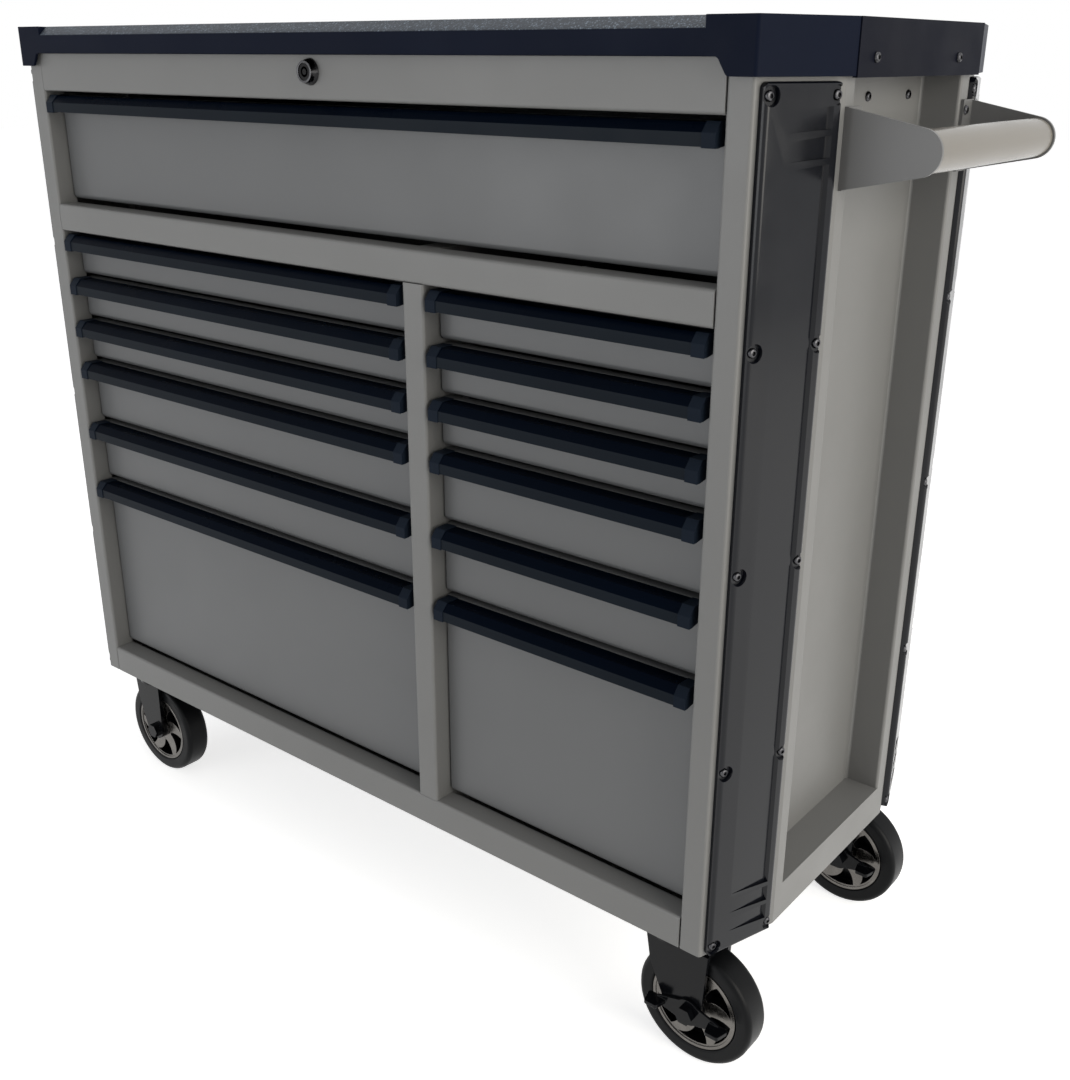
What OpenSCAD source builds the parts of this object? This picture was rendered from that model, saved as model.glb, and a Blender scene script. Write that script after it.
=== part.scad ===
// Rolling tool chest with thirteen drawers.
// X runs along the front with the push handle on +X, the drawers open toward -Y and Z is up.
// The origin is on the floor, under the middle of the whole chest with its handle.

/* [Cabinet] */
// Width of the flat front between the bevelled corners
front_w = 924; // [840:4:1040]
// Depth from the front posts to the back panel
cabinet_d = 410; // [380:2:480]
// Height of the sheet metal body
cabinet_h = 765; // [755:5:900]
// How far each side stands out past the front corners
bevel_out = 28; // [20:1:36]
// Depth that each bevelled corner takes
bevel_run = 86; // [84:1:96]
// Width of the flat strip between a bevel and the recessed side
side_strip = 16; // [14:1:20]
// Depth of the recess in each side
recess_d = 36; // [30:1:42]
// Height of the plain band below the recess
recess_sill = 38; // [30:1:50]
// Sheet thickness
sheet = 1.5; // [1:0.1:2]
// Outside radius of the folds
fold_r = 3; // [2.5:0.5:4]

/* [Front] */
// Width of each front post
post_w = 22; // [18:1:28]
// Depth of the folded edges behind the front
return_d = 24; // [22:1:30]
// Height of the lock rail under the top
lock_rail_h = 39; // [34:1:50]
// Height of the opening for the wide drawer
top_opening_h = 123; // [110:1:140]
// Height of the rail under the wide drawer
mid_rail_h = 30; // [24:1:40]
// Height of the rail under the lowest drawers
bottom_rail_h = 33; // [26:1:44]
// Width of the post between the two banks
divider_w = 26; // [22:1:34]
// How far the divider stands right of the middle
divider_shift = 125; // [80:1:150]
// Seam between the end of a rail and its post
rail_seam = 0.4; // [0.2:0.1:0.6]

/* [Drawers] */
// Height of each shallow drawer front
shallow_h = 46.6; // [45:0.2:48]
// Height of each middle drawer front
middle_h = 72; // [60:1:76]
// Gap between one drawer front and the next
front_gap = 4; // [3.5:0.5:6]
// Gap between the drawer fronts and the rails
rail_gap = 5; // [4:0.5:7]
// Gap between a drawer front and the posts
post_gap = 2.5; // [1.5:0.5:4]
// How far the drawer fronts sit behind the posts
front_setback = 20; // [18:1:22]
// Depth of the folded edge of a drawer front
front_fold = 12; // [8:1:16]
// Outside radius of the rolled lower edge of a drawer front
front_roll_r = 5.5; // [3:0.5:7]
// Length of each drawer tray
tray_l = 368; // [340:2:370]
// Drop from a drawer front's top edge to the tray's rim
tray_drop = 4.5; // [4:0.5:6]
// Height of the tray floor above the front's lower edge
tray_lift = 4; // [3:0.5:6]

/* [Slides] */
// Width that one slide fills between the tray and its carrier
slide_w = 12.7; // [11:0.1:14]
// Height of each slide
slide_h = 35; // [30:1:36]
// Length of each slide
slide_l = 366; // [330:2:368]
// Steel thickness of the slides
slide_t = 1.2; // [1:0.1:1.5]
// Running clearance inside each slide
slide_gap = 0.4; // [0.3:0.1:0.6]

/* [Pulls] */
// How far the pulls stand in front of the posts
pull_proud = 2; // [0:0.5:4]
// Height of the flat front of a pull
pull_face_h = 10; // [8:1:12]
// Height and depth of the sloping part of a pull
pull_slope = 7; // [5:1:9]
// Wall of the pull extrusion
pull_wall = 2; // [1.6:0.2:2.4]
// Width of each end cap
pull_cap_w = 12; // [9:1:15]
// Gap between the pull and the posts
pull_side_gap = 5; // [4:0.5:7]
// How far an end cap stands around the extrusion
pull_cap_lip = 0.8; // [0.4:0.2:1.2]

/* [Top] */
// Overhang of the corner caps past the body
top_over = 7; // [6:0.5:9]
// Wall of the corner caps and end trims
cap_wall = 3; // [2:0.5:4]
// Height of the black surround above the body
surround_h = 18.5; // [16:0.5:22]
// Height of the worktop above the surround
worktop_h = 9; // [7:0.5:11]
// Width of the sloping edge of the worktop
worktop_slope = 14; // [10:1:18]
// Drop of the corner ears below the body's top
ear_drop = 13; // [10:1:16]
// Length of a corner cap along the front
cap_arm = 38; // [34:1:50]
// Width of an ear's sloping shoulder
ear_shoulder = 8; // [6:1:12]
// Radius of the corner caps' upright corners
cap_corner_r = 4; // [2:0.5:6]
// Distance from an end trim's front to its first screw
trim_screw_front = 29; // [20:1:40]
// Distance from an end trim's back to its second screw
trim_screw_back = 50; // [40:1:60]
// Width of the end trims on the worktop
trim_lap = 12; // [8:1:16]
// Height of the rim that laps over the body
rim_lap = 10; // [8:1:12]
// Clearance between the rim and the body
rim_gap = 0.3; // [0.2:0.1:0.5]

/* [Corner guards] */
// Distance of a guard from its bevel's front edge
guard_front_margin = 5.5; // [5:0.5:8]
// Distance of a guard from its bevel's side edge
guard_side_margin = 9; // [8:0.5:12]
// Thickness of a guard
guard_t = 7; // [6:0.5:9]
// Radius of a guard's edges
guard_edge_r = 4; // [1:0.5:5]
// Radius of a guard's four corners
guard_corner_r = 5; // [3:0.5:7]
// Gap between the top of a guard and the ear above it
guard_top_gap = 3; // [2:0.5:8]
// Height of a guard above the lower edge of the body
guard_low_gap = 1.5; // [0.5:0.5:4]
// Depth of the scooped bays at their deep end
bay_depth = 3; // [2:0.5:4]
// Distance from the guard's side edge to the bays
bay_land = 9; // [6:1:11]
// Length of the scooped bays
bay_run = 45; // [34:1:48]
// Width of the sloping wall that closes each bay
bay_wall = 2; // [1:0.5:4]
// How far the tail of a bay leans toward the middle of the guard
bay_slant = 3; // [0:0.5:5]
// How much each end of a bay narrows toward its tail
bay_taper = 1; // [0:0.5:5]
// Height of the two bays at the top
top_bay_h = 16; // [12:1:20]
// Height of the two bays at the bottom
low_bay_h = 16; // [12:1:20]
// Height of the ribs between the bays
rib_h = 4.2; // [3:0.2:6]
// Distance from the top of a guard to its first bay
bay_top_margin = 17; // [15:1:24]
// Distance from the bottom of a guard to its last bay
bay_low_margin = 17; // [15:1:24]
// Rows of screws in a guard
screw_rows = 5; // [3:1:7]
// Distance of the outer screws from the guard's ends
screw_end_inset = 9.5; // [7:0.5:10]
// Distance of the front screws from the guard's edge
front_screw_inset = 6; // [5:0.5:9]
// Distance of the side screws from the guard's edge
side_screw_inset = 3.5; // [3:0.5:7]
// Radius of the round pocket round each screw
scallop_r = 7.5; // [6:0.5:8]
// Thickness left under a screw
screw_seat_t = 3.5; // [2:0.5:4]

/* [Handle] */
// Distance of the tube's centre from the side
handle_reach = 60; // [55:1:80]
// Drop from the top of the body to the handle's centre
handle_rise = 64; // [60:1:125]
// How much longer the handle is than the recess, outside its brackets
handle_span = 41; // [30:1:41]
// Height of a bracket at its root
bracket_root_h = 60; // [54:1:72]
// Radius of a bracket's nose
bracket_nose_r = 17.5; // [17:0.5:20]
// Thickness of a bracket
bracket_t = 3; // [2.5:0.5:4]
// Width of a bracket's flange against the side
bracket_flange_w = 22; // [20:1:26]
// Outside diameter of the handle tube
handle_tube_d = 32; // [26:1:33]
// Wall of the handle tube
handle_tube_wall = 2; // [1.5:0.5:3]

/* [Lock] */
// How far the lock stands right of the middle
lock_shift = 5; // [0:1:40]
// Height of the lock's centre above the lock rail's lower edge
lock_rise = 24.6; // [20:0.2:25]
// Outside diameter of the lock's bezel
bezel_d = 24; // [20:1:26]
// How far the lock stands in front of the lock rail
bezel_proud = 8; // [6:1:11]
// Diameter of the turning cylinder
lock_cylinder_d = 15; // [12:1:16]
// Running clearance round the cylinder
lock_gap = 0.05; // [0.03:0.01:0.1]
// Throw of the pin that moves the lock bar
lock_throw = 4.5; // [3.5:0.5:5]
// Radius of that pin
lock_pin_r = 1.5; // [1:0.1:2]
// Length of the lock bar
lock_bar_l = 420; // [300:10:520]
// Height of the lock bar
lock_bar_h = 8; // [6:0.5:9]
// Thickness of the lock bar
lock_bar_t = 3; // [2:0.5:4]

/* [Casters] */
// Height from the floor to the cabinet floor
caster_h = 150; // [148:1:160]
// Wheel diameter
wheel_d = 125; // [118:1:126]
// Tyre width
tyre_w = 32; // [28:1:34]
// Tyre thickness
tyre_t = 16.5; // [12:0.5:18]
// Distance from each caster to the end of the flat front
caster_inset = 47; // [46:1:70]
// Distance from each caster to the front and back
caster_setback = 45; // [43:1:60]
// Horizontal offset of a swivelling wheel from its pivot
caster_trail = 27; // [22:1:34]
// Horizontal offset of a fixed wheel from its plate
fixed_trail = 10; // [0:1:14]
// Half the width of a fork's crown
crown_half = 24; // [20:1:26]
// Distance from a swivelling fork's axle to its crown's far end
crown_lead = 17; // [14:1:20]
// Depth of the lip along a fork leg's edge
leg_lip = 5.5; // [4:0.5:6]
// Thickness of a caster's top plate
plate_t = 4; // [3:0.5:5]
// Length of a caster's top plate
plate_l = 76; // [70:1:92]
// Width of a caster's top plate
plate_w = 70; // [68:1:76]
// Distance of the plate's bolts from its middle, front to back
bolt_dy = 27; // [26:0.5:28]
// Radius of the plate's bolts
bolt_r = 4; // [3:0.5:4]
// Thickness of the pressed forks
fork_t = 3; // [2.5:0.5:4]
// Clearance between a hub and its fork
hub_side_gap = 0.5; // [0.4:0.1:1]
// Axle diameter
axle_d = 12; // [10:1:12]
// Running clearance round axles and pivots
pivot_gap = 0.05; // [0.03:0.01:0.1]
// Number of spokes in a hub
spokes = 6; // [5:1:7]

/* [Hidden] */
BANK_ROWS = 6;

// Colours
steel_grey = [0.44, 0.44, 0.43];
drawer_grey = [0.38, 0.38, 0.38];
black_plastic = [0.08, 0.09, 0.11];
cap_plastic = [0.2, 0.22, 0.24];
black_metal = [0.05, 0.05, 0.07];
bright_zinc = [0.75, 0.75, 0.75];
mat_grey = [0.3, 0.31, 0.32];
rubber = [0.1, 0.1, 0.1];
hub_grey = [0.55, 0.54, 0.52];

eps = 0.01;
cut = 1;

// Cabinet
floor_z = caster_h;
top_z = floor_z + cabinet_h;
half_front = front_w / 2;
side_x = half_front + bevel_out;
opening_half = half_front - post_w;
rail_half = opening_half - rail_seam;
recess_x = side_x - recess_d;
recess_y0 = bevel_run + side_strip;
recess_y1 = cabinet_d - recess_y0;
sill_z = floor_z + recess_sill;
bevel_l = norm([bevel_out, bevel_run]);
bevel_angle = atan2(bevel_run, bevel_out);

// Front
bottom_rail_z = floor_z + bottom_rail_h;
lock_rail_z = top_z - lock_rail_h;
mid_rail_top = lock_rail_z - top_opening_h;
mid_rail_z = mid_rail_top - mid_rail_h;
divider_x0 = divider_shift - divider_w / 2;
divider_x1 = divider_shift + divider_w / 2;

// Drawers: each row's top edge, from the row above it
bank_heights = [shallow_h, shallow_h, shallow_h, middle_h, middle_h];
function row_top(i) = i == 0 ? mid_rail_z - rail_gap
    : row_top(i - 1) - bank_heights[i - 1] - front_gap;
function row_bottom(i) = i == BANK_ROWS - 1 ? bottom_rail_z + rail_gap
    : row_top(i) - bank_heights[i];
left_bank = [-opening_half, divider_x0];
right_bank = [divider_x1, opening_half];
whole_width = [-opening_half, opening_half];
face_back = front_setback + sheet;
tray_back = face_back + tray_l;
slide_y0 = return_d + sheet;

// Top
surround_top = top_z + surround_h;
worktop_z = surround_top + worktop_h;
ear_z = top_z - ear_drop;
rim_z = top_z - rim_lap;
surround_over = top_over - cap_wall;
cap_x = half_front - cap_arm;
shoulder_x = cap_x + cap_wall + ear_shoulder;
ear_x = shoulder_x + ear_shoulder;
ear_r = ear_shoulder / 2;
trim_over = top_over + 1;
trim_y0 = bevel_run;

// Guards: u runs along a bevel from its front edge
guard_z0 = floor_z + guard_low_gap;
guard_z1 = ear_z - guard_top_gap;
guard_u0 = guard_front_margin;
guard_u1 = bevel_l - guard_side_margin;
groove_u = guard_u1 - bay_land;
screw_us = [guard_u0 + front_screw_inset, guard_u1 - side_screw_inset];
screw_step = (guard_z1 - guard_z0 - 2 * screw_end_inset) / (screw_rows - 1);
screw_r = 2;
screw_hole_r = 2.1;
head_r = 4;
head_h = 2.6;
bracket_screw_clear = 0.5;
bracket_screw_inset = 8.5;

// Handle
handle_z = top_z - handle_rise;
bracket_y0 = bevel_run + 0.5;
bracket_y1 = bracket_y0 + recess_y1 - recess_y0 + handle_span;
handle_x = side_x + handle_reach;
bracket_screw_in = bracket_t + head_r + bracket_screw_clear;
bracket_screw_ys = [bracket_y0 + bracket_screw_in,
                    min(recess_y1 + side_strip / 2, bracket_y1 - bracket_screw_in)];
bracket_screw_dz = bracket_root_h / 2 - bracket_screw_inset;

// Lock
lock_z = lock_rail_z + lock_rise;
lock_sleeve_d = lock_cylinder_d + 4;
lock_sleeve_l = return_d - 6;
lock_bar_y = return_d + rim_gap;
lock_slot_h = 2 * lock_pin_r + 0.5 * lock_throw;

// Casters
wheel_r = wheel_d / 2;
rim_r = wheel_r - tyre_t;
hub_half = tyre_w / 2 + 3.5;
fork_inner = hub_half + hub_side_gap;
plate_z = caster_h - plate_t;
crown_z = wheel_d + 5;
race_gap = 0.3;
race_h = plate_z - crown_z - fork_t - race_gap;
caster_x = half_front - caster_inset;
caster_ys = [caster_setback, cabinet_d - caster_setback];
axle_boss_r = 13;
lip_rise = 16;
hub_ring = 5;
hub_step = 2;
hub_bore_r = axle_d / 2 + pivot_gap;
pedal_t = 3;
pedal_gap = 0.3;
bolt_hole_r = bolt_r + 0.2;
bolt_nut_r = bolt_r + 2.5;
bolt_nut_h = 6;
bolt_head_h = 5;
bolt_clear = 0.5;
bolt_dx = min(caster_inset - post_w, plate_l / 2) - bolt_nut_r - bolt_clear;
race_r = norm([bolt_dx, bolt_dy]) - bolt_nut_r - 2 * bolt_clear;

// ---------------------------------------------------------------- paths and sheets

function unit(v) = v / norm(v);

// Points of an arc of radius r that rounds the corner p between a and b
function corner_arc(a, p, b, r, steps) =
    let (
        u = unit(a - p),
        v = unit(b - p),
        half = acos(u * v) / 2,
        c = p + unit(u + v) * r / sin(half),
        s = p + u * r / tan(half) - c,
        turn = 180 - 2 * half,
        way = cross(concat(u, 0), concat(v, 0))[2] > 0 ? -1 : 1
    )
    [for (k = [0:steps])
        let (w = way * turn * k / steps)
        c + [s[0] * cos(w) - s[1] * sin(w), s[0] * sin(w) + s[1] * cos(w)]];

// Open path with each inner corner rounded
function round_path(pts, r, steps = 4) = [
    pts[0],
    for (i = [1:len(pts) - 2]) each corner_arc(pts[i - 1], pts[i], pts[i + 1], r, steps),
    pts[len(pts) - 1]];

// Closed path with each corner rounded
function round_loop(pts, r, steps = 4) =
    let (n = len(pts))
    [for (i = [0:n - 1])
        each corner_arc(pts[(i + n - 1) % n], pts[i], pts[(i + 1) % n], r, steps)];

function left_of(a, b) = let (d = unit(b - a)) [-d[1], d[0]];

// Open path moved t to its left
function shifted_path(pts, t) =
    let (n = len(pts))
    [for (i = [0:n - 1])
        let (
            n0 = left_of(pts[max(i - 1, 0)], pts[max(i, 1)]),
            n1 = left_of(pts[min(i, n - 2)], pts[min(i + 1, n - 1)])
        )
        pts[i] + (n0 + n1) * t / (1 + n0 * n1)];

function reversed(pts) = [for (i = [len(pts) - 1:-1:0]) pts[i]];

// Sheet of thickness t folded along an open path, h high
module folded_sheet(pts, t, r, h) {
    path = r > 0 ? round_path(pts, r) : pts;
    linear_extrude(h)
        polygon(concat(path, reversed(shifted_path(path, t))));
}

// Shape in the Y-Z plane, extruded along X from x0 to x1
module along_x(x0, x1) {
    translate([x0, 0, 0])
        rotate([90, 0, 90])
            linear_extrude(x1 - x0) children();
}

// Shape in the X-Z plane, extruded along Y from y0 to y1
module along_y(y0, y1) {
    translate([0, y1, 0])
        rotate([90, 0, 0])
            linear_extrude(y1 - y0) children();
}

module box(lo, hi) {
    translate(lo) cube(hi - lo);
}

// Children on both ends of the cabinet
module both_ends() {
    children();
    mirror([1, 0, 0]) children();
}

// Children at the front and, mirrored, at the back
module both_depths() {
    children();
    translate([0, cabinet_d, 0]) mirror([0, 1, 0]) children();
}

// Frame of a bevelled corner: X runs along the bevel from its front corner, -Y stands out
module on_bevel() {
    translate([half_front, 0, 0]) rotate([0, 0, bevel_angle]) children();
}

// Plan of the whole cabinet, grown by g all round
function plan(g) =
    let (
        k = g * tan(bevel_angle / 2),
        m = g * tan(45 - bevel_angle / 2),
        xa = half_front + k,
        xb = side_x + g,
        ya = -g,
        yb = bevel_run - m
    )
    [[-xa, ya], [xa, ya], [xb, yb], [xb, cabinet_d - yb], [xa, cabinet_d - ya],
     [-xa, cabinet_d - ya], [-xb, cabinet_d - yb], [-xb, yb]];

// ---------------------------------------------------------------- cabinet

// Folds of one side from its front post to its rear flange, with or without the recess
function side_path(recessed) = concat(
    [[opening_half, return_d], [opening_half, 0], [half_front, 0], [side_x, bevel_run]],
    recessed ? [[side_x, recess_y0], [recess_x, recess_y0], [recess_x, recess_y1],
                [side_x, recess_y1]] : [],
    [[side_x, cabinet_d - bevel_run], [half_front, cabinet_d], [opening_half, cabinet_d]]);

// Centres of a guard's screws as [distance along the bevel, height]
guard_screws = [for (u = screw_us, i = [0:screw_rows - 1])
    [u, guard_z0 + screw_end_inset + i * screw_step]];

module guard_screw_holes(depth) {
    for (s = guard_screws)
        translate([s[0], depth, s[1]])
            rotate([90, 0, 0])
                cylinder(r = screw_hole_r, h = depth + guard_t, $fn = 24);
}

recess_screw_inset = 19;
recess_screw_step = 80;
recess_screw_drop = 30;
recess_screw_ys = [for (i = [0:2]) recess_y0 + recess_screw_inset + i * recess_screw_step];
recess_screw_z = top_z - recess_screw_drop;

module bracket_screw_holes() {
    for (y = bracket_screw_ys, s = [-1, 1])
        translate([side_x - sheet - cut, y, handle_z + s * bracket_screw_dz])
            rotate([0, 90, 0])
                cylinder(r = screw_hole_r, h = sheet + bracket_t + 2 * cut, $fn = 24);
}

module side_panel() {
    difference() {
        union() {
            translate([0, 0, sill_z - sheet])
                folded_sheet(side_path(true), sheet, fold_r, top_z - sill_z + sheet);
            translate([0, 0, floor_z])
                folded_sheet(side_path(false), sheet, fold_r, recess_sill);
            box([recess_x - sheet, recess_y0 - sheet, sill_z - sheet],
                [side_x, recess_y1 + sheet, sill_z]);
        }
        both_depths() on_bevel() guard_screw_holes(sheet + cut);
        for (y = recess_screw_ys)
            translate([recess_x - sheet - cut, y, recess_screw_z])
                rotate([0, 90, 0]) cylinder(r = screw_hole_r, h = sheet + 2 * cut, $fn = 24);
    }
}

module side_panel_right() {
    color(steel_grey)
        difference() {
            side_panel();
            bracket_screw_holes();
        }
}

module side_panel_left() {
    color(steel_grey) mirror([1, 0, 0]) side_panel();
}

// Rail across the front from x0 to x1: a face with a folded edge at its top, bottom or both
module rail(x0, x1, z0, z1, top_edge, bottom_edge) {
    path = concat(
        bottom_edge ? [[return_d, z0]] : [],
        [[0, z0], [0, z1]],
        top_edge ? [[return_d, z1]] : []);
    along_x(x0, x1)
        polygon(concat(round_ends(path), reversed(shifted_path(round_ends(path), -sheet))));
}
function round_ends(path) = len(path) > 2 ? round_path(path, fold_r) : path;

module divider() {
    translate([divider_shift, 0, bottom_rail_z])
        folded_sheet([[divider_w / 2, return_d], [divider_w / 2, 0],
                      [-divider_w / 2, 0], [-divider_w / 2, return_d]],
                     -sheet, fold_r, mid_rail_z - bottom_rail_z);
}

module front_rails() {
    color(steel_grey) {
        difference() {
            rail(-rail_half, rail_half, lock_rail_z, top_z, false, true);
            translate([lock_shift, -cut, lock_z])
                rotate([-90, 0, 0]) cylinder(d = lock_sleeve_d, h = sheet + 2 * cut, $fn = 48);
        }
        rail(-rail_half, rail_half, mid_rail_z, mid_rail_top, true, true);
        rail(-rail_half, rail_half, floor_z, bottom_rail_z, true, false);
        divider();
    }
}

module back_panel() {
    color(steel_grey)
        box([-opening_half, cabinet_d - sheet, floor_z], [opening_half, cabinet_d, top_z]);
}

// Floor of the cabinet, inside the side panels and notched round the posts' folded edges
module base_pan() {
    notch = return_d + rim_gap;
    color(steel_grey)
        difference() {
            translate([0, 0, floor_z])
                linear_extrude(sheet)
                    polygon(plan(-sheet - rim_gap));
            both_ends()
                translate([opening_half, -cut, floor_z - cut])
                    cube([post_w, notch + cut, sheet + 2 * cut]);
            at_plate_bolts()
                translate([0, 0, floor_z - cut])
                    cylinder(r = bolt_hole_r, h = sheet + 2 * cut, $fn = 24);
        }
}

// Hollow wall between the banks, open at the front and below
module centre_partition() {
    color(steel_grey)
        difference() {
            box([divider_x0, return_d, floor_z + sheet],
                [divider_x1, cabinet_d - sheet, mid_rail_top]);
            box([divider_x0 + sheet, return_d - cut, floor_z + sheet - cut],
                [divider_x1 - sheet, cabinet_d - 2 * sheet, mid_rail_top - sheet]);
        }
}

// Channel uprights that hold the slides off the recessed sides
upright_w = 32;
module slide_uprights() {
    x0 = opening_half;
    x1 = recess_x - sheet;
    color(steel_grey)
        both_ends()
            for (y = [recess_y0 + 6, recess_y1 - 6 - upright_w])
                translate([0, 0, sill_z])
                    folded_sheet([[x1, y], [x0, y], [x0, y + upright_w], [x1, y + upright_w]],
                                 -sheet, 0, lock_rail_z - sill_z);
}

// ---------------------------------------------------------------- slides and drawers

// C channel against the plane x = 0 that opens toward +X, centred on z = 0
module c_channel(w, h, t, y0, y1) {
    along_y(y0, y1)
        polygon([[0, -h / 2], [w, -h / 2], [w, -h / 2 + t], [t, -h / 2 + t],
                 [t, h / 2 - t], [w, h / 2 - t], [w, h / 2], [0, h / 2]]);
}

lip_w = slide_w * 0.72;
inner_h = slide_h - 2 * slide_t - 2 * slide_gap;

function slide_z(bottom) = bottom + tray_lift + slide_h / 2 + 1;

// Fixed members of one drawer's two slides
module slide_pair(span, bottom) {
    translate([span[0], 0, slide_z(bottom)])
        c_channel(lip_w, slide_h, slide_t, slide_y0, slide_y0 + slide_l);
    translate([span[1], 0, slide_z(bottom)])
        mirror([1, 0, 0]) c_channel(lip_w, slide_h, slide_t, slide_y0, slide_y0 + slide_l);
}

module slide_channels() {
    color(bright_zinc) {
        slide_pair(whole_width, mid_rail_top + rail_gap);
        for (i = [0:BANK_ROWS - 1]) {
            slide_pair(left_bank, row_bottom(i));
            slide_pair(right_bank, row_bottom(i));
        }
    }
}

// One drawer: front with folded edges, tray behind it, and the moving slide members
module tray(span, bottom, top) {
    fx0 = span[0] + post_gap;
    fx1 = span[1] - post_gap;
    tx0 = span[0] + slide_w;
    tx1 = span[1] - slide_w;
    z0 = bottom + tray_lift;
    z1 = top - tray_drop;
    fold_end = front_setback + front_fold;
    low = [front_setback, bottom];
    high = [front_setback, top];
    face = concat([[fold_end, bottom]],
                  corner_arc([fold_end, bottom], low, high, front_roll_r, 6),
                  corner_arc(low, high, [fold_end, top], fold_r, 4),
                  [[fold_end, top]]);
    color(drawer_grey)
        union() {
            along_x(fx0, fx1)
                polygon(concat(face, reversed(shifted_path(face, -sheet))));
            for (x = [fx0, fx1 - sheet])
                box([x, face_back - eps, bottom + front_roll_r],
                    [x + sheet, slide_y0 - slide_gap, top - fold_r]);
            difference() {
                box([tx0, face_back - eps, z0], [tx1, tray_back, z1]);
                box([tx0 + sheet, face_back - cut, z0 + sheet],
                    [tx1 - sheet, tray_back - sheet, z1 + cut]);
            }
        }
    color(bright_zinc)
        for (s = [0, 1])
            translate([s == 0 ? tx0 : tx1, 0, slide_z(bottom)])
                mirror([1 - s, 0, 0])
                    c_channel(slide_w - slide_t - slide_gap, inner_h, slide_t,
                              slide_y0, slide_y0 + slide_l);
}

// Section of the pull extrusion in Y-Z, with the front's top edge at z = 0
module pull_section() {
    y0 = -pull_proud;
    y1 = y0 + pull_slope;
    w = pull_wall;
    k = w * tan(22.5);
    polygon([
        [y0, -pull_slope - pull_face_h], [y0, -pull_slope], [y1, 0], [front_setback, 0],
        [front_setback, -pull_slope - pull_face_h + 2],
        [front_setback - w, -pull_slope - pull_face_h + 2],
        [front_setback - w, -w], [y1 + k, -w], [y0 + w, -pull_slope - k],
        [y0 + w, -pull_slope - pull_face_h]]);
}

module pull_cap_section() {
    c = pull_cap_lip;
    y0 = -pull_proud - c;
    polygon([
        [y0, -pull_slope - pull_face_h - c], [y0, -pull_slope], [y0 + pull_slope, c],
        [front_setback, c], [front_setback, -pull_slope - pull_face_h + 2],
        [y0 + 5, -pull_slope - pull_face_h - c]]);
}

module pull(span, top) {
    x0 = span[0] + pull_side_gap;
    x1 = span[1] - pull_side_gap;
    translate([0, 0, top]) {
        color(black_metal) along_x(x0 + pull_cap_w, x1 - pull_cap_w) pull_section();
        color(cap_plastic) {
            along_x(x0, x0 + pull_cap_w) pull_cap_section();
            along_x(x1 - pull_cap_w, x1) pull_cap_section();
        }
    }
}

module tray_top() {
    tray(whole_width, mid_rail_top + rail_gap, lock_rail_z - rail_gap);
}

module pull_top() {
    pull(whole_width, lock_rail_z - rail_gap);
}

module bank_tray(span, i) {
    tray(span, row_bottom(i), row_top(i));
}

module bank_pull(span, i) {
    pull(span, row_top(i));
}

// ---------------------------------------------------------------- top

// Black surround: a slab on the body and a rim that laps over it
module top_surround() {
    color(black_plastic)
        difference() {
            translate([0, 0, rim_z])
                linear_extrude(surround_top - rim_z) polygon(plan(surround_over));
            translate([0, 0, rim_z - cut])
                linear_extrude(rim_lap + cut) polygon(plan(rim_gap));
            box([-half_front, -top_over, rim_z - cut], [half_front, rim_gap, top_z]);
            both_ends() trim_screw_holes();
        }
}

// Worktop with sloping front and back edges, cut back under the corner caps and end trims
module worktop_mat() {
    y0 = -top_over;
    y1 = cabinet_d + top_over;
    color(mat_grey)
        difference() {
            along_x(-side_x, side_x)
                polygon([[y0, surround_top], [y0 + worktop_slope, worktop_z],
                         [y1 - worktop_slope, worktop_z], [y1, surround_top]]);
            both_ends() {
                both_depths()
                    translate([0, 0, surround_top - cut])
                        linear_extrude(worktop_h + 2 * cut) polygon(cap_plan());
                box([side_x - trim_lap, trim_y0 - cut, surround_top - cut],
                    [side_x + cut, cabinet_d - trim_y0 + cut, worktop_z + cut]);
            }
        }
}

// Plan of a corner cap, up to the end trim
function cap_plan() = [
    [cap_x + ear_shoulder, worktop_slope - top_over], [cap_x, -top_over - cut],
    [side_x + top_over + cut, -top_over - cut], [side_x + top_over + cut, trim_y0],
    [side_x - trim_lap, trim_y0], [side_x - trim_lap, trim_y0 - worktop_slope],
    [half_front - worktop_slope, worktop_slope - top_over]];

module corner_cap() {
    difference() {
        intersection() {
            translate([0, 0, ear_z])
                linear_extrude(worktop_z - ear_z) polygon(round_loop(plan(top_over), cap_corner_r));
            translate([0, 0, ear_z - cut])
                linear_extrude(worktop_z - ear_z + 2 * cut) polygon(cap_plan());
        }
        translate([0, 0, ear_z - cut])
            linear_extrude(surround_top - ear_z + cut) polygon(plan(surround_over));
        // The arm along the front ends in a sloping shoulder above the ear
        along_y(-top_over - cut, 0)
            polygon(concat(
                [[cap_x - cut, ear_z - cut], [ear_x + cut, ear_z - cut]],
                corner_arc([ear_x + cut, ear_z], [ear_x, ear_z], [shoulder_x, top_z], ear_r, 3),
                corner_arc([ear_x, ear_z], [shoulder_x, top_z], [cap_x, top_z], ear_r, 3),
                [[cap_x - cut, top_z]]));
    }
}

// Front and back mouldings: a rail along the body's top edge with a corner cap at each end
module top_corner_caps() {
    color(black_plastic)
        both_depths()
            union() {
                box([-cap_x - cut, -top_over, top_z], [cap_x + cut, -surround_over, surround_top]);
                both_ends() corner_cap();
            }
}

trim_screw_ys = [trim_y0 + trim_screw_front, cabinet_d - trim_y0 - trim_screw_back];
module trim_screw_holes() {
    for (y = trim_screw_ys)
        translate([side_x - cut, y, top_z])
            rotate([0, 90, 0]) cylinder(r = screw_hole_r, h = trim_over + 2 * cut, $fn = 24);
}

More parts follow.
